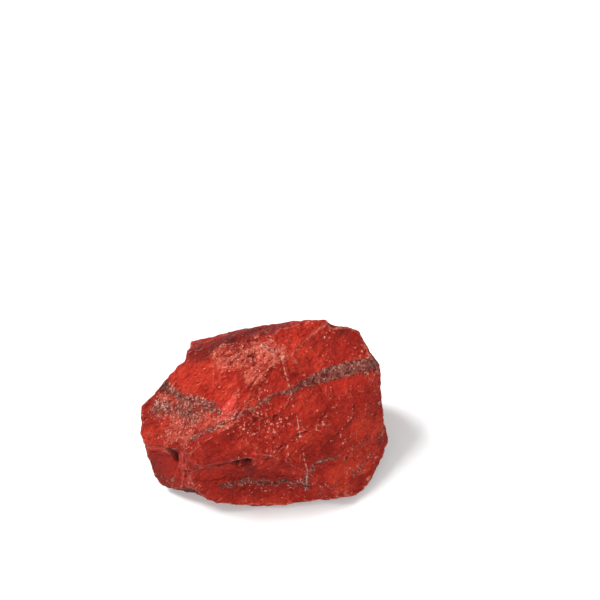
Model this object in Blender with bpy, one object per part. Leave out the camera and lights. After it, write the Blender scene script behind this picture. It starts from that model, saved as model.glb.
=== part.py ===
"""One rough lump of red jasper, broken out by hammer blows and never tumbled.

The lump is the shape that is left after every fracture has taken its piece. Each fracture
face is given by three numbers: its bearing (degrees counter-clockwise from +X), its rise
(degrees above level) and its reach (millimetres out from the heart of the stone). A fourth
number bends the face: above nought it is the radius of a shallow shell-shaped hollow, below
nought the radius of a gentle swelling. A break holds one face, or two to three faces where
the stone broke off in a step and left a notch.
"""

import math

import bpy
import numpy as np

MILLIMETRE = 0.001
HEART_HEIGHT = 11.0
HALF_LENGTH = 25.0
HALF_WIDTH = 17.0
HALF_HEIGHT = 12.0
NET_STEPS = 28
SNAP_STEPS = 9
SNAP_SHARE = 0.42

SWELL_SIZE = 8.0
SWELL_HEIGHT = 0.34
RIPPLE_SIZE = 3.0
RIPPLE_HEIGHT = 0.17
HACKLE_SIZE = 1.5
HACKLE_HEIGHT = 0.07
FIELD_TURN = 2.4
GRAZING = 1e-6

RED = (0.30, 0.028, 0.016, 1.0)
WAXY_ROUGHNESS = 0.5

TOP_BREAKS = {
    "top_left": [(-177, 68, 10.0)],
    "shoulder": [(-172, 57, 12.2)],
    "back_left": [(120, 54, 14.2)],
    "crest_back": [(151, 78, 11.6)],
    "central": [(-57, 56, 8.8)],
    "front_middle": [(-86, 46, 11.0)],
    "rosy_scar": [(150, 59, 10.8, 24)],
    "tongue_scar": [(-177, 60, 10.0, 36)],
    "shoulder_scar": [(-173, 35, 14.7, 32)],
    "crest_scar": [(-56, 65, 8.5, 18)],
    "upper_right_scar": [(-26, 57, 10.7, 47)],
    "ring_scar": [(-69, 49, 9.15, 22)],
}
FRONT_BREAKS = {
    "lower_central": [(-62, 38, 10.7), (-53, -18, 9.2)],
    "right_low": [(-38, 31, 15.1)],
    "lower_right": [(-50, 33, 13.2)],
    "valley_scar": [(-38, 37, 11.9, 44)],
    "smooth_scar": [(-60, 28, 11.1, 20)],
    "under_ledge": [(-90, 12, 12.0), (-81, -19, 10.3), (-83, 28, 9.35)],
    "front_left": [(-124, 12, 18.5)],
    "corner_hollow": [(-118, 28, 13.6), (-110, -7, 14.5), (-165, 4, 18.8)],
    "front_foot": [(-86, -8, 16.9)],
}
END_BREAKS = {
    "left_bay": [(135, 14, 18.0), (176, -8, 15.3)],
    "left_back": [(156, 10, 23.0)],
    "left_tip": [(173, -12, 24.7)],
    "left_end": [(-172, -10, 24.55)],
    "right_end": [(10, -6, 24.7)],
    "right_back": [(35, 9, 23.5, 30)],
    "right_shoulder": [(5, 30, 22.8)],
    "right_belly": [(-12, -14, 25.9)],
    "right_scar": [(11, -2, 23.5, 30)],
}
BACK_BREAKS = {
    "back_corner": [(112, 16, 20.1)],
    "back_wall": [(93, 20, 17.2)],
    "back_right": [(78, 10, 17.7)],
    "back_scar": [(60, -3, 17.6, 30)],
    "back_step": [(98, 2, 17.2), (97, 66, -2.0)],
    "top_notch": [(44, 34, 22.2, 4)],
}
LOW_BREAKS = {
    "low_right": [(-26, -32, 25.6)],
    "low_front_right": [(-50, -42, 23.3)],
    "low_front": [(-82, -44, 18.45)],
    "low_front_left": [(-107, -40, 18.9)],
    "low_left": [(-144, -24, 24.8)],
    "low_left_end": [(-170, -24, 24.8)],
    "low_back": [(96, -36, 17.4)],
    "low_back_right": [(52, -34, 19.6)],
    "low_back_left": [(140, -38, 19.6)],
    "low_right_end": [(12, -44, 21.9)],
    "under_front": [(-98, -66, 16.0)],
    "under_left": [(172, -56, 18.0)],
    "under_back": [(84, -60, 14.0)],
    "under_right": [(-12, -58, 20.4)],
    "under_scar": [(128, -56, 13.2, 30)],
    "low_scar": [(-129, -19, 20.4, 8)],
}
RESTING_BREAK = {"underside": [(0, -90, HEART_HEIGHT)]}


def cube_net(steps):
    """Corner positions and four-sided cells of a cube's skin, each side cut into equal steps."""
    ladder = np.arange(steps + 1)
    first, second = np.meshgrid(ladder, ladder, indexing="ij")
    sheets = []
    for axis in range(3):
        for end in (0, steps):
            sheet = np.empty((steps + 1, steps + 1, 3), int)
            sheet[..., axis] = end
            sheet[..., (axis + 1) % 3] = first
            sheet[..., (axis + 2) % 3] = second
            sheets.append(sheet if end else sheet.transpose(1, 0, 2))
    flat = np.concatenate([sheet.reshape(-1, 3) for sheet in sheets])
    corners, numbers = np.unique(flat, axis=0, return_inverse=True)
    cells = []
    for grid in numbers.reshape(6, steps + 1, steps + 1):
        ring = (grid[:-1, :-1], grid[1:, :-1], grid[1:, 1:], grid[:-1, 1:])
        cells.append(np.stack(ring, axis=-1).reshape(-1, 4))
    return corners / steps * 2 - 1, np.concatenate(cells)


def directions_of(net):
    """Unit directions from the heart, spread evenly and stretched to the stone's proportions."""
    spread = np.tan(net * math.pi / 4) * (HALF_LENGTH, HALF_WIDTH, HALF_HEIGHT)
    return spread / np.linalg.norm(spread, axis=-1, keepdims=True)


def random_field(points, seed):
    """Random numbers held on whole-number corners of space, blended smoothly: -1 to 1."""
    corner = np.floor(points).astype(np.int64)
    inner = points - corner
    blend = inner**3 * (inner * (inner * 6 - 15) + 10)
    total = np.zeros(points.shape[:-1])
    for i in (0, 1):
        for j in (0, 1):
            for k in (0, 1):
                cell = corner + (i, j, k)
                mixed = cell @ np.array([374761393, 668265263, 1440662683]) + seed * 974634777
                mixed = (mixed & 0xFFFFFFFF) ^ ((mixed & 0xFFFFFFFF) >> 13)
                mixed = (mixed * 1274126177) & 0xFFFFFFFF
                number = ((mixed ^ (mixed >> 16)) & 0xFFFF) / 32767.5 - 1
                share = np.abs(1 - np.array([i, j, k]) - blend)
                total += number * share.prod(axis=-1)
    return total


def relief(points, seed):
    """Height of the broken surface over the plain face: swells, ripples and small hackles."""
    swell = SWELL_HEIGHT * random_field(points / SWELL_SIZE, seed)
    ripple = RIPPLE_HEIGHT * random_field(points / RIPPLE_SIZE, seed + 1)
    hackle = HACKLE_HEIGHT * random_field(points / HACKLE_SIZE, seed + 2)
    return swell + ripple + hackle


def face_distance(directions, face):
    """How far from the heart each direction meets one fracture face."""
    bearing, rise, reach = face[:3]
    bend = face[3] if len(face) > 3 else 0
    bearing, rise = math.radians(bearing), math.radians(rise)
    level = math.cos(rise)
    normal = np.array([level * math.cos(bearing), level * math.sin(bearing), math.sin(rise)])
    toward = directions @ normal
    if bend == 0:
        return np.where(toward > GRAZING, reach / np.maximum(toward, GRAZING), np.inf)
    along = toward * (reach + bend)
    inside = along**2 - (reach + bend) ** 2 + bend**2
    root = np.sqrt(np.maximum(inside, 0))
    if bend < 0:
        return along + root
    return np.where((inside > 0) & (toward > 0), along - root, np.inf)


def stone_distance(directions, breaks, fields):
    """Distance from the heart to the skin, and the number of the face met there."""
    nearest = np.full(directions.shape[:-1], np.inf)
    active = np.zeros(directions.shape[:-1], int)
    number = 0
    for name, faces in breaks.items():
        outer = np.full(nearest.shape, -np.inf)
        owner = np.zeros(nearest.shape, int)
        for face in faces:
            lift = 0.0
            if fields is not None and name != "underside":
                turn = FIELD_TURN * number
                lift = math.cos(turn) * fields[0] + math.sin(turn) * fields[1]
            distance = face_distance(directions, face) + lift
            owner = np.where(distance > outer, number, owner)
            outer = np.maximum(outer, distance)
            number += 1
        active = np.where(outer < nearest, owner, active)
        nearest = np.minimum(nearest, outer)
    return nearest, active


def rough_stone(directions, breaks):
    """Distance and face number with the relief of the broken surface on every face."""
    plain, _ = stone_distance(directions, breaks, None)
    points = directions * plain[..., None]
    fields = relief(points, 11), relief(points, 47)
    return stone_distance(directions, breaks, fields)


def snap_to_creases(directions, cells, breaks):
    """Slides the net's corners onto the creases between faces, so that ridges come out crisp."""
    edges = np.concatenate([cells[:, [0, 1]], cells[:, [1, 2]], cells[:, [2, 3]], cells[:, [3, 0]]])
    edges = np.concatenate([edges, cells[:, [0, 2]], cells[:, [1, 3]]])
    _, active = rough_stone(directions, breaks)
    edges = edges[active[edges[:, 0]] != active[edges[:, 1]]]
    start, end = directions[edges[:, 0]], directions[edges[:, 1]]
    own = active[edges[:, 0]]
    low = np.zeros(len(edges))
    high = np.ones(len(edges))
    for _ in range(SNAP_STEPS):
        middle = (low + high) / 2
        between = start + (end - start) * middle[:, None]
        between /= np.linalg.norm(between, axis=-1, keepdims=True)
        same = rough_stone(between, breaks)[1] == own
        low = np.where(same, middle, low)
        high = np.where(same, high, middle)
    share = (low + high) / 2
    moved = directions.copy()
    order = np.argsort(-share)
    near = order[share[order] < SNAP_SHARE]
    moved[edges[near, 0]] = (start + (end - start) * share[:, None])[near]
    return moved / np.linalg.norm(moved, axis=-1, keepdims=True)


def triangles_of(cells, directions, positions, breaks):
    """Cuts each cell in two along the diagonal that lies closer to the true surface."""
    gaps = []
    for a, b in ((0, 2), (1, 3)):
        middle = (positions[cells[:, a]] + positions[cells[:, b]]) / 2
        span = np.linalg.norm(middle, axis=-1)
        true, _ = rough_stone(middle / span[:, None], breaks)
        gaps.append(np.abs(true - span))
    first = np.concatenate([cells[:, [0, 1, 2]], cells[:, [0, 2, 3]]], axis=1)
    second = np.concatenate([cells[:, [0, 1, 3]], cells[:, [1, 2, 3]]], axis=1)
    chosen = np.where((gaps[0] <= gaps[1])[:, None], first, second)
    return chosen.reshape(-1, 3)


def jasper():
    """The stone's own material: waxy, opaque, iron red."""
    material = bpy.data.materials.new("red_jasper")
    material.use_nodes = True
    shader = material.node_tree.nodes["Principled BSDF"]
    shader.inputs["Base Color"].default_value = RED
    shader.inputs["Roughness"].default_value = WAXY_ROUGHNESS
    material.diffuse_color = RED
    return material


def build_stone():
    """The lump as one closed body, its resting face on the ground and its box over the origin."""
    groups = (TOP_BREAKS, FRONT_BREAKS, END_BREAKS, BACK_BREAKS, LOW_BREAKS, RESTING_BREAK)
    breaks = {name: faces for group in groups for name, faces in group.items()}
    net, cells = cube_net(NET_STEPS)
    directions = snap_to_creases(directions_of(net), cells, breaks)
    distance, _ = rough_stone(directions, breaks)
    positions = directions * distance[:, None]
    triangles = triangles_of(cells, directions, positions, breaks)
    low, high = positions.min(axis=0), positions.max(axis=0)
    positions = positions - ((low[0] + high[0]) / 2, (low[1] + high[1]) / 2, -HEART_HEIGHT)
    mesh = bpy.data.meshes.new("red_jasper_stone")
    mesh.from_pydata((positions * MILLIMETRE).tolist(), [], triangles.tolist())
    mesh.update()
    mesh.materials.append(jasper())
    stone = bpy.data.objects.new("red_jasper_stone", mesh)
    bpy.context.collection.objects.link(stone)


for old in list(bpy.data.objects):
    bpy.data.objects.remove(old)
build_stone()
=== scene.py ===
import math

import bpy
import numpy as np
from mathutils import Matrix, Vector


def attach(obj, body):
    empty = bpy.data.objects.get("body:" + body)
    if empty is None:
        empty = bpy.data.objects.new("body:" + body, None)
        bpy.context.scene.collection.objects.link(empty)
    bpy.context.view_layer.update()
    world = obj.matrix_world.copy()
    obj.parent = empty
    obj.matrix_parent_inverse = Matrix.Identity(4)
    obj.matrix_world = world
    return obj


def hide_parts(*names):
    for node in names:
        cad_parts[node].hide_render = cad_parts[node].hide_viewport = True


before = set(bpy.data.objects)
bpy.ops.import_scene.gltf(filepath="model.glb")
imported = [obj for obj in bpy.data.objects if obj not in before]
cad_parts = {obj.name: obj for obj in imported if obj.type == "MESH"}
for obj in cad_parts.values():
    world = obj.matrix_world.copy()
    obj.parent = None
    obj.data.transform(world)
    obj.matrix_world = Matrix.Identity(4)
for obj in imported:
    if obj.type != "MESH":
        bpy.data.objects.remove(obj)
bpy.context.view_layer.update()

# The stone: one lump of red jasper, broken out by hammer blows and never tumbled. It is one
# natural body with nothing fixed to it. Its skin is what is left after each fracture has taken
# its piece: faces given by bearing and rise in degrees and reach in millimetres from the heart.

MILLIMETRE = 0.001
HEART = (-0.18, -0.96, 11.0)
HALF_SIZES = (25.0, 17.0, 12.0)
SKIN_STEPS = 128

# Each break: how coarse its broken surface is, then its faces. A fourth number is the radius of
# a shell-shaped hollow. Two or three faces in one break leave a step or a notch.
BREAKS = {
    "top_left": (0.75, [(-177, 68, 10.0)]),
    "shoulder": (1.15, [(-172, 57, 12.2)]),
    "back_left": (0.9, [(120, 54, 14.2)]),
    "crest_back": (0.8, [(151, 78, 11.6)]),
    "central": (0.8, [(-57, 56, 8.8)]),
    "front_middle": (0.9, [(-86, 46, 11.0)]),
    "rosy_scar": (1.2, [(150, 59, 10.8, 24)]),
    "tongue_scar": (0.6, [(-177, 60, 10.0, 36)]),
    "shoulder_scar": (1.3, [(-173, 35, 14.7, 32)]),
    "crest_scar": (0.3, [(-56, 65, 8.5, 18)]),
    "upper_right_scar": (0.45, [(-26, 57, 10.7, 47)]),
    "ring_scar": (0.8, [(-69, 49, 9.15, 22)]),
    "lower_central": (0.8, [(-62, 38, 10.7), (-53, -18, 9.2)]),
    "right_low": (0.8, [(-38, 31, 15.1)]),
    "lower_right": (0.75, [(-50, 33, 13.2)]),
    "valley_scar": (0.7, [(-38, 37, 11.9, 44)]),
    "smooth_scar": (0.35, [(-60, 28, 11.1, 20)]),
    "under_ledge": (0.7, [(-90, 12, 12.0), (-81, -19, 10.3), (-83, 28, 9.35)]),
    "front_left": (0.9, [(-124, 12, 18.5)]),
    "corner_hollow": (0.3, [(-118, 28, 13.6), (-110, -7, 14.5), (-165, 4, 18.8)]),
    "front_foot": (0.8, [(-86, -8, 16.9)]),
    "left_bay": (0.9, [(135, 14, 18.0), (176, -8, 15.3)]),
    "left_back": (0.9, [(156, 10, 23.0)]),
    "left_tip": (0.8, [(173, -12, 24.7)]),
    "left_end": (0.9, [(-172, -10, 24.55)]),
    "right_end": (0.9, [(10, -6, 24.7)]),
    "right_back": (0.9, [(35, 9, 23.5, 30)]),
    "right_shoulder": (0.8, [(5, 30, 22.8)]),
    "right_belly": (0.9, [(-12, -14, 25.9)]),
    "right_scar": (0.5, [(11, -2, 23.5, 30)]),
    "back_corner": (0.9, [(112, 16, 20.1)]),
    "back_wall": (0.8, [(93, 20, 17.2)]),
    "back_right": (0.9, [(78, 10, 17.7)]),
    "back_scar": (0.5, [(60, -3, 17.6, 30)]),
    "back_step": (0.9, [(98, 2, 17.2), (97, 66, -2.0)]),
    "top_notch": (0.7, [(44, 34, 22.2, 4)]),
    "low_right": (0.9, [(-26, -32, 25.6)]),
    "low_front_right": (0.9, [(-50, -42, 23.3)]),
    "low_front": (0.9, [(-82, -44, 18.45)]),
    "low_front_left": (0.9, [(-107, -40, 18.9)]),
    "low_left": (0.9, [(-144, -24, 24.8)]),
    "low_left_end": (0.9, [(-170, -24, 24.8)]),
    "low_back": (0.8, [(96, -36, 17.4)]),
    "low_back_right": (0.9, [(52, -34, 19.6)]),
    "low_back_left": (0.8, [(140, -38, 19.6)]),
    "low_right_end": (0.9, [(12, -44, 21.9)]),
    "under_front": (0.9, [(-98, -66, 16.0)]),
    "under_left": (0.8, [(172, -56, 18.0)]),
    "under_back": (0.9, [(84, -60, 14.0)]),
    "under_right": (0.9, [(-12, -58, 20.4)]),
    "under_scar": (0.5, [(128, -56, 13.2, 30)]),
    "low_scar": (0.8, [(-129, -19, 20.4, 8)]),
    "underside": (0.0, [(0, -90, 11.0)]),
}


def skin_net(steps):
    """Corners and cells of a cube's skin cut into equal steps, each corner a point of -1 to 1."""
    ladder = np.arange(steps + 1)
    first, second = np.meshgrid(ladder, ladder, indexing="ij")
    sheets = []
    for axis in range(3):
        for end in (0, steps):
            sheet = np.empty((steps + 1, steps + 1, 3), int)
            sheet[..., axis] = end
            sheet[..., (axis + 1) % 3] = first
            sheet[..., (axis + 2) % 3] = second
            sheets.append(sheet if end else sheet.transpose(1, 0, 2))
    flat = np.concatenate([sheet.reshape(-1, 3) for sheet in sheets])
    keys = flat @ np.array([(steps + 1) ** 2, steps + 1, 1])
    _, picked, numbers = np.unique(keys, return_index=True, return_inverse=True)
    cells = []
    for grid in numbers.reshape(6, steps + 1, steps + 1):
        ring = (grid[:-1, :-1], grid[1:, :-1], grid[1:, 1:], grid[:-1, 1:])
        cells.append(np.stack(ring, axis=-1).reshape(-1, 4))
    return flat[picked] / steps * 2 - 1, np.concatenate(cells)


def chance(cells, seed):
    """A fixed random number of -1 to 1 for each whole-number place in space."""
    mixed = cells @ np.array([374761393, 668265263, 1440662683]) + seed * 974634777
    mixed = (mixed & 0xFFFFFFFF) ^ ((mixed & 0xFFFFFFFF) >> 13)
    mixed = (mixed * 1274126177) & 0xFFFFFFFF
    return ((mixed ^ (mixed >> 16)) & 0xFFFF) / 32767.5 - 1


def swells(points, size, seed):
    """Smooth random heights of -1 to 1: chance at whole-number places, blended between them."""
    scaled = points / size
    corner = np.floor(scaled).astype(np.int64)
    inner = scaled - corner
    blend = inner**3 * (inner * (inner * 6 - 15) + 10)
    total = np.zeros(len(points))
    for step in np.ndindex(2, 2, 2):
        share = np.abs(1 - np.array(step) - blend)
        total += chance(corner + step, seed) * share.prod(axis=-1)
    return total


def scallops(points, size, seed):
    """Bowls that meet in sharp ridges: squared distance to the nearest seat, in sizes.

    The seats are scattered, one in each whole-number place, at most 0.45 off its middle.
    """
    scaled = points / size
    corner = np.floor(scaled).astype(np.int64)
    nearest = np.full(len(points), 9.0)
    for step in np.ndindex(3, 3, 3):
        cell = corner + step - 1
        offset = np.stack([chance(cell, seed + axis) for axis in range(3)], axis=-1)
        gap = scaled - cell - 0.5 - 0.45 * offset
        nearest = np.minimum(nearest, (gap**2).sum(axis=-1))
    return nearest


def face_distance(directions, face):
    """How far from the heart each direction meets a flat face (reach over cosine) or a hollow."""
    bearing, rise, reach = math.radians(face[0]), math.radians(face[1]), face[2]
    hollow = face[3] if len(face) > 3 else 0
    level = math.cos(rise)
    normal = np.array([level * math.cos(bearing), level * math.sin(bearing), math.sin(rise)])
    toward = directions @ normal
    if not hollow:
        return np.where(toward > 1e-6, reach / np.maximum(toward, 1e-6), np.inf)
    along = toward * (reach + hollow)
    inside = along**2 - (reach + hollow) ** 2 + hollow**2
    return np.where((inside > 0) & (toward > 0), along - np.sqrt(np.maximum(inside, 0)), np.inf)


def skin_distance(directions, lifts):
    """Distance to the skin, the face met, the gap to the next break, and the break's coarseness.

    A break's surface is the farthest of its faces, and the skin is the nearest of all breaks.
    """
    nearest = np.full(len(directions), np.inf)
    second = nearest.copy()
    active = np.zeros(len(directions), int)
    coarse = np.zeros(len(directions))
    number = 0
    for name, (coarseness, faces) in BREAKS.items():
        outer = np.full(len(directions), -np.inf)
        owner = active.copy()
        for face in faces:
            turn = 2.4 * number
            lift = math.cos(turn) * lifts[0] + math.sin(turn) * lifts[1]
            distance = face_distance(directions, face) + (0 if name == "underside" else lift)
            owner = np.where(distance > outer, number, owner)
            outer = np.maximum(outer, distance)
            number += 1
        won = outer < nearest
        second = np.where(won, nearest, np.minimum(second, outer))
        nearest = np.where(won, outer, nearest)
        active = np.where(won, owner, active)
        coarse = np.where(won, coarseness, coarse)
    return nearest, active, second - nearest, coarse


# Swells and ripples on every face: how long and how high they are, in millimetres.
SWELLS = ((8.0, 0.34), (3.0, 0.17), (1.5, 0.07))


def broken_skin(directions):
    """The skin with swells and ripples, of which each face has its own mixture of two fields."""
    plain = skin_distance(directions, (0, 0))[0]
    points = directions * plain[:, None]
    lifts = [
        sum(
            height * swells(points, size, seed + number)
            for number, (size, height) in enumerate(SWELLS)
        )
        for seed in (11, 47)
    ]
    return skin_distance(directions, lifts)


def unit(vectors):
    """The same directions, each with a length of 1."""
    return vectors / np.linalg.norm(vectors, axis=-1, keepdims=True)


# How often an edge is halved to find a crease on it, and the largest share of the edge that a
# corner may slide, so that no cell turns over.
HALVINGS = 6
LONGEST_SLIDE = 0.42


def snapped(directions, cells):
    """Slides corners along the net's edges onto the creases between faces, found by halving."""
    pairs = [cells[:, [0, 1]], cells[:, [1, 2]], cells[:, [0, 2]], cells[:, [1, 3]]]
    edges = np.concatenate(pairs + [pair[:, ::-1] for pair in pairs])
    active = broken_skin(directions)[1]
    edges = edges[active[edges[:, 0]] != active[edges[:, 1]]]
    start, end, own = directions[edges[:, 0]], directions[edges[:, 1]], active[edges[:, 0]]
    low, high = np.zeros(len(edges)), np.ones(len(edges))
    for _ in range(HALVINGS):
        middle = (low + high) / 2
        same = broken_skin(unit(start + (end - start) * middle[:, None]))[1] == own
        low, high = np.where(same, middle, low), np.where(same, high, middle)
    order = np.argsort(-high)
    near = order[high[order] < LONGEST_SLIDE]
    moved = directions.copy()
    moved[edges[near, 0]] = (start + (end - start) * high[:, None])[near]
    return unit(moved)


# Open cracks, undercuts and knocked-off chips: through these points, this wide, this deep, and
# how much painted shade darkens them, from 1 for a deep crack to 0 for a clean chip.
CRACKS = (
    ([(-9.4, -13.2, 0.7), (-5.4, -12.9, 1.2), (-2.6, -12.6, 1.9)], 1.1, 1.5, 1.0),
    ([(-5.0, -12.9, 1.1), (-3.1, -12.6, 1.7)], 1.8, 1.3, 1.0),
    ([(-22.4, -7.3, -3.4), (-19.6, -8.9, -0.2), (-17.2, -9.9, 0.5)], 0.45, 0.4, 0.1),
    ([(-17.8, -9.4, 0.4), (-17.3, -9.4, -1.6)], 1.4, 1.8, 1.0),
    ([(-17.3, -10.2, -3.0), (-18.0, -11.4, -5.8)], 0.35, 0.35, 0.8),
    ([(-14.2, -12.8, 1.4), (-14.8, -13.3, -1.6), (-16.2, -13.0, -4.4)], 0.4, 0.4, 1.0),
    ([(-21.4, -7.5, -0.5), (-20.4, -7.9, 0.6)], 1.4, 0.6, 0.0),
    ([(-15.9, -11.0, 3.0), (-15.7, -12.0, 0.6)], 1.7, 0.7, 0.0),
    ([(-15.9, -12.7, -2.4), (-16.4, -12.8, -4.6)], 2.2, 0.9, 0.1),
    (
        [(-14.0, -14.0, -3.2), (-9.4, -13.3, -3.2), (-2.6, -13.0, -3.3), (7.9, -12.9, -3.1)],
        0.45,
        0.2,
        0.8,
    ),
    ([(18.6, -0.4, 3.0), (18.0, -2.4, 1.7), (15.8, -5.1, 1.2), (13.4, -7.4, 0.4)], 0.8, 0.32, 0.9),
    ([(12.6, 12.6, 12.0), (14.2, 12.6, 12.0)], 0.9, 0.5, 0.8),
    ([(11.4, -4.7, 3.3), (6.3, -8.1, 3.4), (2.2, -11.0, 3.2), (-0.2, -12.6, 0.4)], 0.5, 0.34, 0.9),
    ([(12.8, -2.2, 5.0), (11.0, -5.0, 3.4)], 0.35, 0.30, 1.0),
    ([(-12.8, -11.3, 4.8), (-9.2, -9.6, 5.6), (-6.6, -8.6, 6.6)], 0.4, 0.16, 1.0),
    (
        [(-10.6, 11.0, 6.2), (-8.4, 12.3, 6.7), (-5.2, 12.3, 7.8), (-1.9, 11.1, 9.7)],
        0.9,
        0.36,
        0.5,
    ),
    ([(-6.0, -4.2, 8.3), (-2.5, 0.2, 9.6), (1.0, 3.4, 10.9), (3.2, 6.0, 11.8)], 0.45, 0.22, 1.0),
)


def near_crack(points, course, width):
    """1 on the crack's course, a chain of straight lines, falling to 0 at its width."""
    nearest = np.full(len(points), np.inf)
    for start, end in zip(course[:-1], course[1:]):
        start, stretch = np.array(start), np.array(end) - start
        share = np.clip((points - start) @ stretch / (stretch @ stretch), 0, 1)
        away = points - start - share[:, None] * stretch
        nearest = np.minimum(nearest, np.linalg.norm(away, axis=-1))
    return np.clip(1 - nearest / width, 0, 1)


# Strings of pale specks: along the crest and its back edge, the step in front and the valley.
# Along the crest, its back edge and the top they are partly a painted highlight.
STRINGS = (
    [(-10.2, 9.8, 6.5), (-8.4, 10.8, 6.8), (-5.3, 11.6, 7.9), (-1.2, 9.6, 10.2)],
    [(6.4, 13.1, 11.6), (8.4, 13.5, 12.0), (9.8, 13.4, 12.3)],
    [(-9.6, -8.2, 6.7), (-6.6, -6.6, 7.7), (-3.2, -3.9, 8.6), (0.8, -0.6, 9.4)],
    [(11.4, -4.7, 3.3), (6.3, -8.1, 3.4), (2.2, -11.0, 3.2), (-0.2, -12.6, 0.4)],
    [(18.6, -0.4, 3.0), (15.8, -5.1, 1.2), (13.4, -7.4, 0.4)],
)


# Grey grains of hematite smeared beyond their layer: through these points, this wide and this
# thick, where 1 covers the red in the middle of the course.
SMEARS = (
    ([(-7.5, -13.9, -4.8), (-3.6, -13.3, -4.2), (3.3, -13.3, -4.7), (7.3, -13.4, -5.3)], 1.7, 1.0),
    ([(-13.5, -8.9, 5.0), (-10.8, -7.8, 6.2), (-7.8, -7.2, 7.4)], 1.9, 1.0),
    ([(10.5, -10.7, -1.3), (12.8, -9.6, -1.6), (15.2, -8.7, -2.0), (17.6, -7.0, -1.8)], 0.9, 1.0),
    ([(17.3, -11.0, -5.9), (19.7, -8.6, -5.5), (22.2, -5.2, -5.3), (24.4, -1.5, -4.6)], 0.8, 1.0),
    ([(15.8, -9.8, -3.3), (18.4, -7.2, -2.7), (20.5, -4.8, -2.8)], 0.7, 1.0),
    ([(8.9, -12.7, -2.5), (9.7, -11.5, -1.5)], 1.0, 1.0),
    ([(8.5, -12.8, -2.8), (8.5, -13.1, -4.2), (8.7, -13.7, -6.4)], 1.2, 1.4),
    ([(-21.0, 1.2, 0.2), (-18.6, 0.2, 1.6), (-15.6, -2.0, 4.0), (-13.4, -4.2, 5.0)], 4.4, 0.94),
)


# The direction of the rock's grain, and how much distances along it shrink where the bowls are
# laid out, so that they come out longer that way.
GRAIN = (0.66, 0.70, 0.27)
GRAIN_SQUEEZE = 0.35
# Shallow bowls: how wide and how deep they are in millimetres, and the seed of each size. The
# level is the squared distance at which a bowl neither sinks nor lifts the skin.
BOWLS = ((4.6, 0.85, 91), (2.2, 0.60, 95), (1.15, 0.24, 99))
BOWL_LEVEL = 0.22
# Wear where breaks meet, in millimetres: how far it reaches, how deep its chips are and what is
# off everywhere. The foot is left plain up to this height, so that the resting face stays flat.
EDGE_REACH = 0.5
CHIP_DEPTH = 0.28
EDGE_WEAR = 0.04
PLAIN_FOOT = 0.6
# How far the bowls, cracks, strings and smears stray from their courses, in millimetres.
BOWL_STRAY, CRACK_STRAY, STRING_STRAY, SMEAR_STRAY = 0.55, 0.25, 0.3, 0.4
STRING_WIDTH = 0.8
BORDER_WIDTH = 0.25


def stone_skin():
    """The finished skin, and what its making says about each place on it.

    On each break lie shallow bowls, longer along the grain, that meet in sharp small ridges, and
    chips are off the edges between breaks. Both move the skin in or out along its own ray.
    Returns the places in millimetres from the heart and the cells, then for each place how
    coarse its break is, how deep the painted shade of a crack is, how near a string of specks
    is, how thick a smear of grains is, and how near the border of the break is.
    """
    net, cells = skin_net(SKIN_STEPS)
    directions = snapped(unit(np.tan(net * math.pi / 4) * HALF_SIZES), cells)
    distance, _, gap, coarse = broken_skin(directions)
    points = directions * distance[:, None]
    stir = np.stack([swells(points, 1.9, seed) for seed in (71, 72, 73)], axis=-1)
    warped = points + BOWL_STRAY * stir
    grain = np.array(GRAIN)
    warped = warped - GRAIN_SQUEEZE * grain * (warped @ grain)[:, None]
    bowls = 0.0
    for size, depth, seed in BOWLS:
        bowls = bowls + depth * (BOWL_LEVEL - scallops(warped, size, seed))
    edge = np.exp(-((gap / EDGE_REACH) ** 2))
    chips = np.clip(swells(points, 1.3, 81) * 2.0, 0, 1) * edge
    level = np.clip((points[:, 2] + HEART[2]) / PLAIN_FOOT, 0, 1)
    worn = bowls * coarse * (1 - 0.4 * edge) + CHIP_DEPTH * chips + EDGE_WEAR * edge
    opened = 0.0
    for course, width, depth, dark in CRACKS:
        cut = depth * near_crack(points + CRACK_STRAY * stir, course, width)
        worn = worn + cut
        opened = opened + cut * dark
    distance = distance - worn * level
    strung = np.zeros(len(points))
    for course in STRINGS:
        near = near_crack(points + STRING_STRAY * stir, course, STRING_WIDTH)
        strung = np.maximum(strung, near)
    smeared = np.zeros(len(points))
    for course, width, thick in SMEARS:
        near = near_crack(points + SMEAR_STRAY * stir, course, width)
        smeared = np.maximum(smeared, np.minimum(thick * near, 1))
    border = np.exp(-((gap / BORDER_WIDTH) ** 2))
    return directions * distance[:, None], cells, coarse, opened, strung, smeared, border


def standing_proud(points, cells):
    """How far corners stand above the mean of what is round them, close by and farther out.

    The height is the way from that mean to the corner, measured along the skin's outward normal,
    which is returned as well.
    """
    near, far = np.concatenate([cells[:, [side, (side + 1) % 4]] for side in range(4)]).T
    count = np.bincount(near)[:, None]
    first, second, third, fourth = (points[cells[:, side]] for side in range(4))
    across = np.cross(third - first, fourth - second)
    outward = np.zeros_like(points)
    for side in range(4):
        for axis in range(3):
            outward[:, axis] += np.bincount(cells[:, side], across[:, axis], len(points))
    outward = unit(outward)
    mean = points
    heights = []
    for passes in (2, 14):
        for _ in range(passes):
            sums = [np.bincount(near, mean[far, axis]) for axis in range(3)]
            mean = np.stack(sums, axis=-1) / count
        heights.append(((points - mean) * outward).sum(axis=-1))
    return *heights, outward


def patch(points, spots):
    """A soft mask: full in the middle half of each spot's radius, falling to 0 at the radius."""
    steep = 1.3
    mask = np.zeros(len(points))
    for *centre, radius in spots:
        away = np.linalg.norm(points - centre, axis=-1) / radius
        mask = np.maximum(mask, np.clip(steep - steep * away**2, 0, 1))
    return mask


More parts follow.
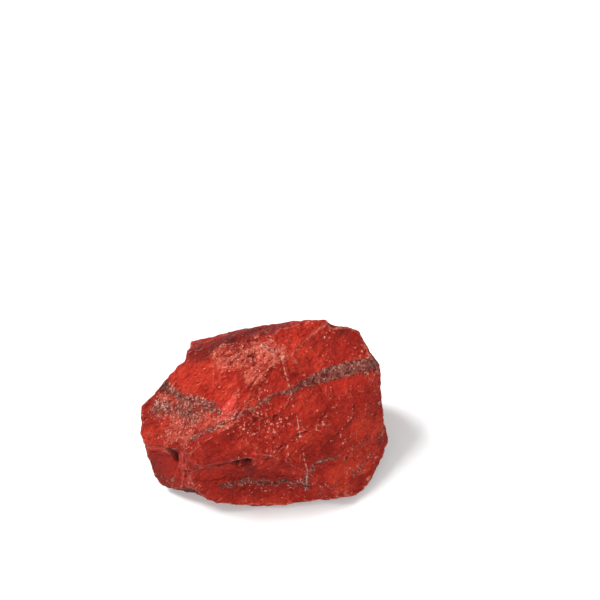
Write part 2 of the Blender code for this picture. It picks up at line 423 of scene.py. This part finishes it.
# Patches with a look of their own, each laid out as spots: a place in millimetres from the
# heart and a radius.
PATCHES = {
    # Pale and grainy: along the back of the crest and on the shoulder at the low end.
    "rosy": [
        (-7.5, 8.6, 7.4, 4.6),
        (-4.0, 8.2, 8.9, 4.8),
        (0.3, 6.6, 10.8, 4.2),
        (-1.6, 2.6, 9.8, 3.4),
        (3.0, 6.4, 11.6, 2.6),
        (-20.2, 0.6, 1.2, 3.9),
        (-16.4, -1.9, 3.2, 4.2),
        (-12.0, -4.6, 5.6, 3.8),
        (-8.0, -6.8, 7.3, 2.8),
        (-17.2, -5.6, 2.4, 3.6),
        (-14.6, -8.6, 4.2, 2.6),
    ],
    # Clear bright red: the face above the low end, the top and the right foot.
    "bright": [
        (8.9, 12.1, 12.1, 5.0),
        (-14.0, 5.0, 5.2, 8.0),
        (-9.0, 3.0, 7.0, 6.0),
        (18.0, -9.0, -4.6, 4.2),
        (15.0, -11.5, -5.0, 4.0),
        (19.0, -3.5, -0.5, 3.4),
        (9.0, 5.8, 10.1, 5.0),
        (5.6, 4.6, 10.6, 3.0),
        (-2.4, -3.4, 8.9, 2.6),
        (8.5, -2.0, 6.3, 3.6),
        (5.0, -11.2, 1.6, 3.2),
        (5.3, -12.8, -2.0, 2.4),
        (-3.0, -11.2, 3.6, 3.4),
        (-20.8, -4.3, -0.4, 3.8),
        (-18.6, -7.4, 1.2, 2.8),
        (-22.6, -5.6, -1.2, 3.6),
        (-20.6, -7.2, 0.0, 3.0),
        (-0.5, -15.4, -8.0, 6.0),
        (21.8, -6.0, -4.0, 3.4),
        (23.6, -2.6, -3.0, 3.4),
        (20.6, -9.0, -6.0, 3.0),
    ],
    # Scarlet: a tongue that runs down from the crest.
    "scarlet": [
        (-7.1, -5.3, 7.6, 1.7),
        (-6.7, -4.2, 7.8, 2.2),
        (-6.2, -3.0, 8.0, 1.8),
        (-5.8, -1.9, 8.2, 1.2),
    ],
    # Dark, close-grained: partly the own tone of a smooth flake in front, partly painted shade
    # under the ledge, below the crest, in the valley and the low hollow, and painted shadow on the
    # back of the crest and at the upper right.
    "dull": [
        (-5.5, -13.6, -4.6, 4.6),
        (-0.8, -13.6, -5.0, 4.4),
        (3.2, -13.2, -4.6, 3.8),
        (8.3, -13.6, -5.6, 1.8),
        (12.4, -8.2, 0.4, 2.2),
        (9.6, -9.8, 0.8, 1.8),
        (4.8, -12.3, 0.4, 2.0),
        (-3.6, 13.4, 7.6, 5.5),
        (19.2, 11.2, 9.6, 3.4),
        (-9.8, -11.2, 5.0, 3.2),
        (-6.6, -9.6, 6.4, 2.2),
        (-20.7, -8.8, -5.3, 4.4),
    ],
    # Dark patches, mostly painted shadow and shade with some iron stain: the back edge, the low
    # corner at the left and under the ledge.
    "stained": [
        (-12.8, 10.6, 5.8, 3.4),
        (-9.8, 12.4, 6.2, 2.8),
        (-6.4, 13.4, 7.0, 2.8),
        (-2.8, 13.6, 8.4, 2.8),
        (1.2, 13.4, 9.8, 2.8),
        (4.0, 13.8, 10.5, 1.8),
        (-20.3, -11.2, -8.5, 4.6),
        (-17.4, -12.6, -7.4, 3.2),
        (-14.4, -13.6, -7.6, 2.8),
        (-22.6, -8.6, -6.6, 3.4),
        (-2.3, -12.5, -0.9, 1.6),
        (15.6, 12.4, 10.6, 1.6),
        (22.4, 7.4, 7.0, 2.2),
        (-20.4, 4.6, 2.0, 2.0),
    ],
    # Thick with pale flecks: below the crest, along the step in front and near the foot.
    "flecked": [
        (-2.4, -6.5, 7.8, 4.2),
        (0.2, -4.8, 7.6, 2.8),
        (2.4, -6.5, 5.8, 3.2),
        (-4.3, -8.4, 7.2, 3.0),
        (11.8, -4.6, 3.6, 2.2),
        (7.9, -7.0, 3.6, 2.0),
        (1.7, -11.4, 3.5, 1.8),
        (-2.0, -14.0, -6.0, 4.0),
        (3.4, -13.4, -6.0, 3.6),
        (-13.6, -13.6, -4.6, 2.0),
        (19.4, 8.2, 7.8, 3.0),
        (-7.0, -6.2, 7.8, 2.4),
        (-19.6, 1.4, 1.4, 4.4),
        (-14.6, -2.6, 4.4, 4.6),
        (-5.4, 8.8, 8.4, 3.4),
        (-2.0, 8.4, 9.8, 3.2),
        (1.4, 6.6, 11.2, 3.0),
    ],
    # Sugary quartz: small clusters of clear grains, whose near-white colour is partly a painted
    # glint.
    "sugar": [
        (0.2, 8.7, 10.8, 1.5),
        (1.8, 6.9, 11.4, 1.3),
        (3.6, 5.1, 11.9, 1.1),
        (-18.0, -11.8, -6.6, 0.9),
        (7.5, -13.2, -4.5, 0.9),
        (23.3, 1.8, 0.5, 0.8),
        (22.4, -6.5, -6.7, 0.7),
        (12.1, 10.2, 11.3, 0.6),
        (7.3, -5.0, 4.9, 0.5),
        (7.3, -7.7, 3.4, 0.6),
        (11.8, -4.8, 3.6, 0.7),
        (-8.5, -4.1, 6.9, 0.7),
        (-21.4, 2.0, 0.2, 1.2),
        (-19.6, 1.0, 1.2, 1.3),
        (-12.2, 14.6, 2.0, 1.4),
        (14.0, 6.0, -8.0, 1.5),
    ],
}

# The heights at which a small ridge and a broad rise count in full, and the depth at which the
# painted shade in a crack is as dark as it gets, in millimetres.
RIDGE_HEIGHT = 0.035
RISE_HEIGHT = 0.16
DARK_DEPTH = 0.7

positions, cells, coarse, opened, strung, smeared, border = stone_skin()
close, wide, outward = standing_proud(positions, cells)
masks = {
    "ridges": np.clip(close / RIDGE_HEIGHT, -1, 1),
    "rises": np.clip(wide / RISE_HEIGHT, -1, 1),
    "coarse": coarse,
    "opened": np.clip(opened / DARK_DEPTH, 0, 1),
    "strung": strung,
    "smeared": smeared,
    "under": np.clip(0.25 - 2.0 * outward[:, 2], 0, 1),
    "border": border,
}
masks.update({name: patch(positions, spots) for name, spots in PATCHES.items()})
stone_mesh = bpy.data.meshes.new("jasper_skin")
stone_mesh.from_pydata(((positions + HEART) * MILLIMETRE).tolist(), [], cells.tolist())
for name, values in masks.items():
    stone_mesh.attributes.new(name, "FLOAT", "POINT").data.foreach_set("value", values)
stone_mesh.polygons.foreach_set("use_smooth", np.ones(len(stone_mesh.polygons), bool))
stone = bpy.data.objects.new("jasper_skin", stone_mesh)
bpy.context.scene.collection.objects.link(stone)


class Wire:
    """A shader socket that takes part in arithmetic: an expression adds its Math nodes."""

    def __init__(self, tree, socket=None):
        self.tree = tree
        self.socket = socket

    def node(self, kind, settings, sockets, output=0):
        """Adds a node: its settings first, then the value or wire of each socket."""
        made = self.tree.nodes.new(kind)
        for name, value in settings.items():
            setattr(made, name, value)
        for name, value in sockets.items():
            if isinstance(value, Wire):
                self.tree.links.new(value.socket, made.inputs[name])
            else:
                made.inputs[name].default_value = value
        return Wire(self.tree, made.outputs[output] if made.outputs else None)

    def math(self, operation, *values):
        """Adds a Math node with these values or wires on its sockets, in their order."""
        return self.node("ShaderNodeMath", {"operation": operation}, dict(enumerate(values)))

    def __add__(self, other):
        return self.math("ADD", self, other)

    def __radd__(self, other):
        return self.math("ADD", other, self)

    def __sub__(self, other):
        return self.math("SUBTRACT", self, other)

    def __rsub__(self, other):
        return self.math("SUBTRACT", other, self)

    def __mul__(self, other):
        return self.math("MULTIPLY", self, other)

    def __rmul__(self, other):
        return self.math("MULTIPLY", other, self)

    def __abs__(self):
        return self.math("ABSOLUTE", self)

    def sine(self):
        """The sine of this angle in radians."""
        return self.math("SINE", self)

    def largest(self, *others):
        """The largest of this value and the others, at each place."""
        top = self
        for other in others:
            top = self.math("MAXIMUM", top, other)
        return top

    def between(self, low, high):
        """Smooth 0 to 1 as the value goes from low to high. Low may be the larger."""
        settings = {"interpolation_type": "SMOOTHSTEP"}
        sockets = {"Value": self, "From Min": low, "From Max": high}
        return self.node("ShaderNodeMapRange", settings, sockets)

    def times_plus(self, factor, added):
        """A vector: this one times a factor plus another, each way by itself."""
        sockets = {0: self, 1: factor, 2: added}
        return self.node("ShaderNodeVectorMath", {"operation": "MULTIPLY_ADD"}, sockets)

    def noise(self, size, detail=2.0, roughness=0.5, shift=0.0):
        """Cloudy noise of about 0 to 1 over a position wire, with features of this size."""
        place = self.node("ShaderNodeVectorMath", {"operation": "ADD"}, {0: self, 1: (shift,) * 3})
        sockets = {"Vector": place, "Scale": 1 / size, "Detail": detail, "Roughness": roughness}
        return self.node("ShaderNodeTexNoise", {}, sockets)

    def grains(self, size, output="Distance"):
        """Scattered cells of this size over a position wire: the way to the nearest seat."""
        return self.node("ShaderNodeTexVoronoi", {}, {"Vector": self, "Scale": 1 / size}, output)

    def luck(self, size):
        """A random number of 0 to 1 for each of the scattered cells of this size."""
        return self.node("ShaderNodeSeparateColor", {}, {"Color": self.grains(size, "Color")})

    def turn(self, first, second):
        """The first colour where this mask is 0, turning into the second where it is 1."""
        return self.node("ShaderNodeMix", {"data_type": "RGBA"}, {0: self, 6: first, 7: second}, 2)


jasper = bpy.data.materials.new("red_jasper")
jasper.use_nodes = True
jasper.node_tree.nodes.clear()
start = Wire(jasper.node_tree)

# Position in millimetres from the heart, and the masks that the skin carries.
object_place = start.node("ShaderNodeTexCoord", {}, {}, "Object")
place = object_place.times_plus((1 / MILLIMETRE,) * 3, tuple(-value for value in HEART))
parts = start.node("ShaderNodeSeparateXYZ", {}, {"Vector": place})
x, y, z = (Wire(start.tree, parts.socket.node.outputs[axis]) for axis in "XYZ")
ridges, rises, coarse, opened, strung, smeared, under, border, *patches = (
    start.node("ShaderNodeAttribute", {"attribute_name": name}, {}, "Fac") for name in masks
)
rosy, bright, scarlet, dull, stained, flecked, sugar = patches


def off_plane(normal, offset):
    """Distance in millimetres from a plane with this normal, this far from the heart."""
    return x * normal[0] + y * normal[1] + z * normal[2] - offset


# The rock's grain: everything laid out in this place comes out longer one way.
STREAK_SQUEEZE = 0.72
along = x * GRAIN[0] + y * GRAIN[1] + z * GRAIN[2]
grained = (along * -STREAK_SQUEEZE).times_plus(GRAIN, place)

# Noise from broad clouds down to grit: size in millimetres, detail, roughness and shift.
clouds = place.noise(7.0, 3.0, 0.55)
mottle = place.noise(2.2, 4.0, 0.6, 31.0)
streaks = grained.noise(0.8, 3.0, 0.6, 7.0)
fine = place.noise(0.75, 4.0, 0.65, 57.0)
hair = grained.noise(0.38, 2.0, 0.55, 91.0)
grit = place.noise(0.28, 2.0, 0.6, 83.0)

# Red ground: iron-stained silica, deep red where it is dense, brighter and more orange in
# clouds, paler and pinkish where the break is coarse and its powdery grain shows.
deep_red = (0.310, 0.0125, 0.0060, 1)
mid_red = (0.470, 0.0210, 0.0098, 1)
bright_red = (0.640, 0.0400, 0.0165, 1)
scarlet_red = (0.780, 0.0620, 0.0450, 1)
dusty_red = (0.760, 0.1450, 0.0920, 1)
tone = clouds * 0.40 + mottle * 0.38 + streaks * 0.2 + (hair - 0.5) * 0.16 + 0.01
ground = (tone - dull * 0.10 + bright * 0.05).between(0.38, 0.56).turn(deep_red, mid_red)
clear_red = (tone - dull * 0.16 + bright * 0.13).between(0.52, 0.68)
ground = (clear_red * 0.85).turn(ground, bright_red)
tongue = (scarlet * 0.6 + mottle * 0.3 + streaks * 0.2).between(0.50, 0.76)
ground = tongue.turn(ground, scarlet_red)
powder = rosy * 0.30 + fine * 0.8 + grit * 0.5 + streaks * 0.4 + mottle * 0.3 - dull * 0.30
# Raised places come out a little paler: painted light on the rises.
powder = (powder + hair * 0.4 + rises * 0.12).between(1.28, 1.64)
ground = (powder * 0.80).turn(ground, dusty_red)

# Grey-brown hematite layer: one bent sheet through the whole stone, thick at the high end and
# thin across the crest, grainy, with red islands left in it.
LAYER_WAVE = 0.1366
bend = (x * LAYER_WAVE + LAYER_WAVE).sine() * 0.75
wander = place.noise(4.0, 2.0, 0.5, 11.0) - 0.5 + (mottle - 0.5) * 0.8
wander = wander + (fine - 0.5) * 0.9 + (grit - 0.5) * 0.3
layer_depth = abs(off_plane((-0.113, 0.394, 0.912), 6.46) - bend + wander)
half_thick = 0.34 + x.between(0.0, 17.0) * 0.90 + x.between(-9.0, -14.0) * 0.36
layer = (layer_depth - half_thick).between(0.50, -0.50) * 1.15
blotches = place.noise(1.3, 3.0, 0.6, 19.0)
layer = (layer + (blotches - 0.5) * 1.9 + (fine - 0.5) * 1.3).between(0.40, 1.00)
smear = (smeared * 1.1 + (blotches - 0.5) * 1.6 + (fine - 0.5) * 1.3).between(0.45, 1.10)
layer = layer.largest(smear * smeared.between(0.0, 0.3))
# Stringers: thin broken sheets of the same grains, three in all, near the ends of the stone.
stringers = []
for depth, shift in ((15.0, 29.0), (17.6, 37.0), (-19.5, 43.0)):
    away = off_plane((0.502, -0.182, -0.845), depth) + (mottle - 0.5) * 0.8 + (fine - 0.5) * 0.9
    broken = place.noise(2.4, 1.0, 0.5, shift).between(0.5, 0.6)
    stringers.append(abs(away).between(0.34, 0.10) * broken)
iron_dark = (0.095, 0.0140, 0.0110, 1)
iron_grey = (0.260, 0.0860, 0.0640, 1)
iron_pale = (0.560, 0.3400, 0.2700, 1)
crystal = place.luck(0.42) + (grit - 0.5) * 0.8
iron = crystal.between(0.10, 0.60).turn(iron_dark, iron_grey)
iron = (crystal.between(0.80, 1.00) * 0.8).turn(iron, iron_pale)
ground = (layer * (0.85 - scarlet * 0.7)).turn(ground, iron)
ground = (Wire.largest(*stringers) * 0.6).turn(ground, iron)

# Healed cracks: thin pale quartz sheets, each broken into dashes, given by their normal, how
# far they are from the heart, their width and the shift of their noise.
cracks = []
for normal, offset, width, shift in (
    ((-0.923, -0.359, 0.136), -3.7, 0.20, 3.0),
    ((-0.20, 0.95, -0.24), 14.0, 0.14, 13.0),
):
    away = off_plane(normal, offset) + (place.noise(5.0, 2.0, 0.5, shift) - 0.5)
    away = abs(away + (fine - 0.5) * 0.35)
    dashes = place.noise(0.8, 1.0, 0.5, shift + 40).between(0.50, 0.58)
    cracks.append(away.between(width, width * 0.4) * dashes)
quartz = (0.760, 0.3700, 0.3000, 1)
ground = (Wire.largest(*cracks) * 0.75 * z.between(13.0, 10.5)).turn(ground, quartz)

# Flecks: small pale grains, crowded in some clouds and along ridges. Their places are stirred,
# so that no grain is round. Given are the size of the cells that they lie in, how much of the
# cell a fleck takes up, and the least luck with which a cell has one.
crowd = place.noise(5.5, 2.0, 0.5, 23.0).between(0.44, 0.66) * 0.28 + ridges * 0.5 + rosy * 0.6
crowd = crowd + layer * 0.1 - dull * 0.3 + flecked * 0.72 + strung * 1.5
stirred = place.noise(0.5, 1.0, 0.5, 5.0).times_plus((0.5, 0.5, 0.5), place)
fleck_sizes = []
for size, reach, least in (
    (0.40, 0.50, 0.96),
    (0.64, 0.44, 0.97),
    (1.05, 0.30, 0.97),
    (1.90, 0.17, 0.96),
):
    lucky = (stirred.luck(size) + crowd * 0.25).between(least, least + 0.12)
    fleck_sizes.append(stirred.grains(size).between(reach, reach * 0.5) * lucky)
flecks = Wire.largest(*fleck_sizes)

# Dark specks between the flecks, then the flecks, then clear grains in the sugary clusters, near
# white, partly painted glints.
dark_speck = (0.140, 0.0090, 0.0070, 1)
pale_pink = (1.000, 0.3700, 0.2700, 1)
glint_pink = (1.000, 0.6000, 0.5200, 1)
dark_places = (mottle + flecked * 0.1 + sugar * 0.15).between(0.50, 0.62)
specks = stirred.grains(0.8).between(0.46, 0.2) * dark_places
ground = (specks * 0.60).turn(ground, dark_speck)
ground = (flecks * (grit.between(0.35, 0.65) * 0.4 + 0.55)).turn(ground, pale_pink)
clear = (sugar * 0.30 + grit * 0.8 + fine * 0.4).between(0.90, 0.98) * sugar.between(0.0, 0.25)
ground = (clear * 0.95).turn(ground, glint_pink)

# Painted shade: the lowest little places are darker, and dark painted shade lies in open cracks,
# on undersides, along the borders of breaks that face down and, with some stain, on the dark
# patches.
hollow_shade_red = (0.150, 0.0110, 0.0080, 1)
painted_shade_red = (0.070, 0.0080, 0.0070, 1)
hollow_shade = (rises * -0.9 + fine * 0.4 + hair * 0.4 + dull * 0.1 + rosy * 0.12).between(0.74, 1.22)
ground = (hollow_shade * 0.70).turn(ground, hollow_shade_red)
# Painted shade: a dark line along the borders of breaks that face down.
underside_edge_shade = border * under.between(0.3, 0.8)
painted_shade = opened * 0.85 + under * 0.45 + stained * 0.5 + underside_edge_shade * 0.4
ground = painted_shade.turn(ground, painted_shade_red)

# Ridges: a pale, dry, broken line on the sharp edges, partly bruising by knocks and partly a
# painted highlight where the edges catch the light.
bruise_highlight_red = (0.780, 0.2000, 0.1350, 1)
bruise_and_highlight = (ridges * (border * 0.4 + 0.4) + grit * 1.1 + fine * 0.4).between(1.10, 1.36)
ground = (bruise_and_highlight * 0.5).turn(ground, bruise_highlight_red)

# Surface: dull and powdery, with a little shine on clear grains, and a fine broken relief. A
# height of 1 stands for this many millimetres.
RELIEF = 3.0
gloss = 0.62 + powder * 0.14 - layer * 0.06 + (fine - 0.5) * 0.25 - flecks * 0.25 - clear * 0.3
height = fine * (0.20 + coarse * 0.30) + hair * (0.12 + coarse * 0.14)
height = height + grit * (coarse * 0.15 + 0.07 + layer * 0.10)
height = height + flecks * 0.03 + clear * 0.04 + mottle * 0.35 + streaks * (rosy * 0.25 + 0.10)
height = height + stirred.grains(0.95) * (coarse * 0.26 + 0.08)
height = height + stirred.grains(0.45) * (coarse * 0.12)
relief = {"Strength": 1.0, "Distance": MILLIMETRE * RELIEF, "Height": height}
surface = {
    "Base Color": ground,
    "Roughness": gloss,
    "Normal": start.node("ShaderNodeBump", {}, relief),
    "IOR": 1.54,
    "Specular IOR Level": 0.12,
}
shader = start.node("ShaderNodeBsdfPrincipled", {}, surface)
start.node("ShaderNodeOutputMaterial", {}, {"Surface": shader})
stone_mesh.materials.append(jasper)

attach(stone, "root")
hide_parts("red_jasper_stone")

# Studio: a plain, pale, matte floor under the stone, so wide that its edges stay out of sight
# from every side. Its half width is in metres.
FLOOR_HALF = 12
corners = [(-1, -1, 0), (1, -1, 0), (1, 1, 0), (-1, 1, 0)]
floor_mesh = bpy.data.meshes.new("floor")
floor_mesh.from_pydata([Vector(corner) * FLOOR_HALF for corner in corners], [], [(0, 1, 2, 3)])
floor = bpy.data.objects.new("floor", floor_mesh)
bpy.context.scene.collection.objects.link(floor)
floor_paint = bpy.data.materials.new("floor_white")
floor_paint.use_nodes = True
floor_shader = floor_paint.node_tree.nodes["Principled BSDF"]
floor_shader.inputs["Base Color"].default_value = (0.95, 0.95, 0.95, 1)
floor_shader.inputs["Roughness"].default_value = 0.9
floor_shader.inputs["Specular IOR Level"].default_value = 0.1
floor_mesh.materials.append(floor_paint)

# Light: one broad soft lamp high on the left, a weak one in front, and a white room. A lamp is
# given by the way to it from the heart, its size in metres and its power in watts.
ROOM_STRENGTH = 0.43
LAMP_DISTANCE = 0.9
room = bpy.data.worlds.new("white_room")
bpy.context.scene.world = room
room.use_nodes = True
room.node_tree.nodes["Background"].inputs["Color"].default_value = (1, 1, 1, 1)
room.node_tree.nodes["Background"].inputs["Strength"].default_value = ROOM_STRENGTH
heart = Vector(HEART) * MILLIMETRE
for lamp_name, toward, size, power in (
    ("key_lamp", (-0.59, 0.31, 0.74), 0.38, 11.3),
    ("front_lamp", (0.35, -0.80, 0.50), 0.50, 4.5),
):
    lamp_data = bpy.data.lights.new(lamp_name, "AREA")
    lamp_data.size = size
    lamp_data.energy = power
    lamp = bpy.data.objects.new(lamp_name, lamp_data)
    bpy.context.scene.collection.objects.link(lamp)
    direction = Vector(toward).normalized()
    lamp.location = heart + direction * LAMP_DISTANCE
    lamp.rotation_euler = direction.to_track_quat("Z", "Y").to_euler()

# Camera: looks down at the stone from the front, a little above half way to overhead, with the
# stone left of and below the middle of the frame, by so many pixels. Its distance is in metres.
RISE = math.radians(55)
PIXELS_PER_MILLIMETRE = 5.0
PIXELS_LEFT = 36.5
PIXELS_BELOW = 112
EYE_DISTANCE = 0.3333
right = Vector((1, 0, 0))
up = Vector((0, math.sin(RISE), math.cos(RISE)))
back = Vector((0, -math.cos(RISE), math.sin(RISE)))
aim = heart + right * (PIXELS_LEFT / PIXELS_PER_MILLIMETRE * MILLIMETRE)
aim = aim + up * (PIXELS_BELOW / PIXELS_PER_MILLIMETRE * MILLIMETRE)
eye = aim + back * EYE_DISTANCE
camera_data = bpy.data.cameras.new("camera")
camera_data.lens = 100
camera_data.sensor_width = 36
camera_data.clip_start = 0.01
camera = bpy.data.objects.new("camera", camera_data)
bpy.context.scene.collection.objects.link(camera)
rows = [(right[i], up[i], back[i], eye[i]) for i in range(3)]
camera.matrix_world = Matrix([*rows, (0, 0, 0, 1)])
bpy.context.scene.camera = camera
bpy.context.scene.view_settings.view_transform = "Standard"
